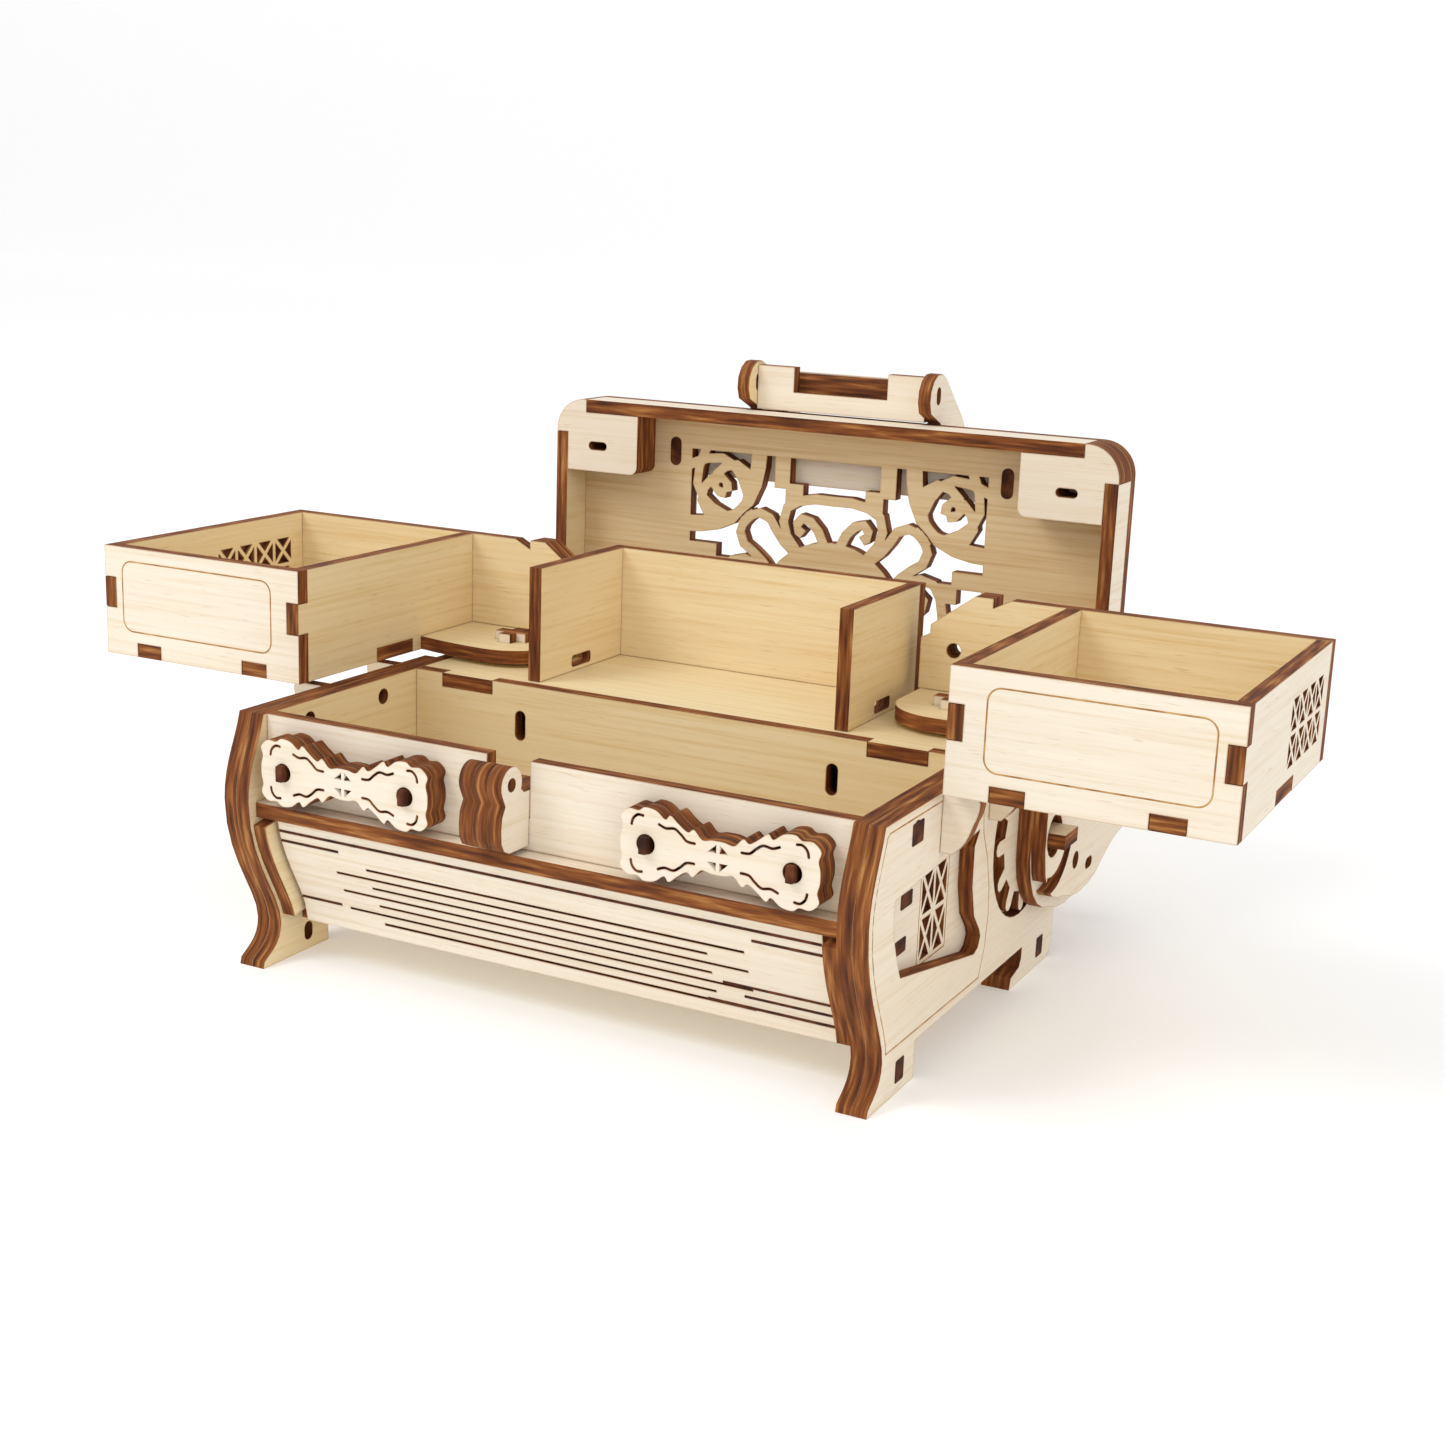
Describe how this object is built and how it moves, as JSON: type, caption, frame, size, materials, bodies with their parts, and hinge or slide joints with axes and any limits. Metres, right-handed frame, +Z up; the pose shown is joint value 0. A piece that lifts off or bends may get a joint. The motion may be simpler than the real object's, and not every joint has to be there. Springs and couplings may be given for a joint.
{
  "type": "sewing box with trays",
  "caption": "Footed plywood work box whose hinged lid turns cogs that swing a tray out to each side, with an open middle compartment, a front trough and a folding handle.",
  "frame": {"origin": "on the ground, under the middle of the box with its lid open and its trays swung out", "axes": "+X to the right along the front, +Y to the back, +Z up"},
  "size_m": [0.2506, 0.1552, 0.1195],
  "materials": {
    "sanded_plywood": "sanded, unfinished",
    "warm_plywood": "sanded, unfinished",
    "burnt_plywood": "laser-burnt edges"
  },
  "bodies": {
    "case": {"side_plate_outer_left": "sanded_plywood", "side_plate_outer_right": "sanded_plywood", "side_plate_inner_left": "warm_plywood", "side_plate_inner_right": "warm_plywood", "front_wall": "sanded_plywood", "middle_wall": "warm_plywood", "rear_wall": "sanded_plywood", "base_board": "warm_plywood", "front_ledge": "sanded_plywood", "front_slat_panel": "sanded_plywood", "front_rib_left": "burnt_plywood", "front_rib_right": "burnt_plywood", "deck": "warm_plywood", "compartment_wall_left": "warm_plywood", "compartment_wall_right": "warm_plywood", "compartment_wall_back": "warm_plywood", "corbel_front_left": "sanded_plywood", "corbel_front_right": "sanded_plywood", "corbel_rear_left": "sanded_plywood", "corbel_rear_right": "sanded_plywood", "ornament_left": "sanded_plywood", "ornament_right": "sanded_plywood", "latch_bracket": "sanded_plywood", "hinge_pin_left": "burnt_plywood", "hinge_pin_right": "burnt_plywood"},
    "lid": {"lid_panel": "sanded_plywood", "lid_rail_front": "sanded_plywood", "lid_rail_rear": "sanded_plywood", "lid_rail_left": "sanded_plywood", "lid_rail_right": "sanded_plywood", "lid_corner_front_left": "sanded_plywood", "lid_corner_front_right": "sanded_plywood", "lid_corner_rear_left": "sanded_plywood", "lid_corner_rear_right": "sanded_plywood", "lid_arm_left": "sanded_plywood", "lid_arm_right": "sanded_plywood", "lid_cog_left": "burnt_plywood", "lid_cog_right": "burnt_plywood", "handle_board": "sanded_plywood", "handle_ear_left": "sanded_plywood", "handle_ear_right": "sanded_plywood", "handle_rod": "burnt_plywood"},
    "tray_left": {"tray_front_left": "sanded_plywood", "tray_outer_left": "sanded_plywood", "tray_inner_left": "sanded_plywood", "tray_back_left": "sanded_plywood", "tray_bottom_left": "warm_plywood", "tray_shaft_left": "burnt_plywood", "tray_cog_left": "sanded_plywood"},
    "tray_right": {"tray_front_right": "sanded_plywood", "tray_outer_right": "sanded_plywood", "tray_inner_right": "sanded_plywood", "tray_back_right": "sanded_plywood", "tray_bottom_right": "warm_plywood", "tray_shaft_right": "burnt_plywood", "tray_cog_right": "sanded_plywood"},
    "handle": {"handle_arm_left": "sanded_plywood", "handle_arm_right": "sanded_plywood", "handle_grip": "sanded_plywood", "handle_bar": "burnt_plywood"}
  },
  "joints": [
    {"name": "lid_hinge", "type": "hinge", "parent": "case", "child": "lid", "pos_m": [0, 0.00487, 0.034], "axis": [1, 0, 0], "range_deg": [0, 90]},
    {"name": "tray_left_swing", "type": "hinge", "parent": "case", "child": "tray_left", "pos_m": [-0.0535, 0.00487, 0.056], "axis": [0, 0, 1], "range_deg": [0, 90]},
    {"name": "tray_right_swing", "type": "hinge", "parent": "case", "child": "tray_right", "pos_m": [0.0535, 0.00487, 0.056], "axis": [0, 0, -1], "range_deg": [0, 90]},
    {"name": "handle_swing", "type": "hinge", "parent": "lid", "child": "handle", "pos_m": [0, 0.07287, 0.1045], "axis": [-1, 0, 0], "range_deg": [0, 225]}
  ],
  "couplings": [
    {"joint": "tray_left_swing", "follows": "lid_hinge", "ratio": 1},
    {"joint": "tray_right_swing", "follows": "lid_hinge", "ratio": 1}
  ]
}
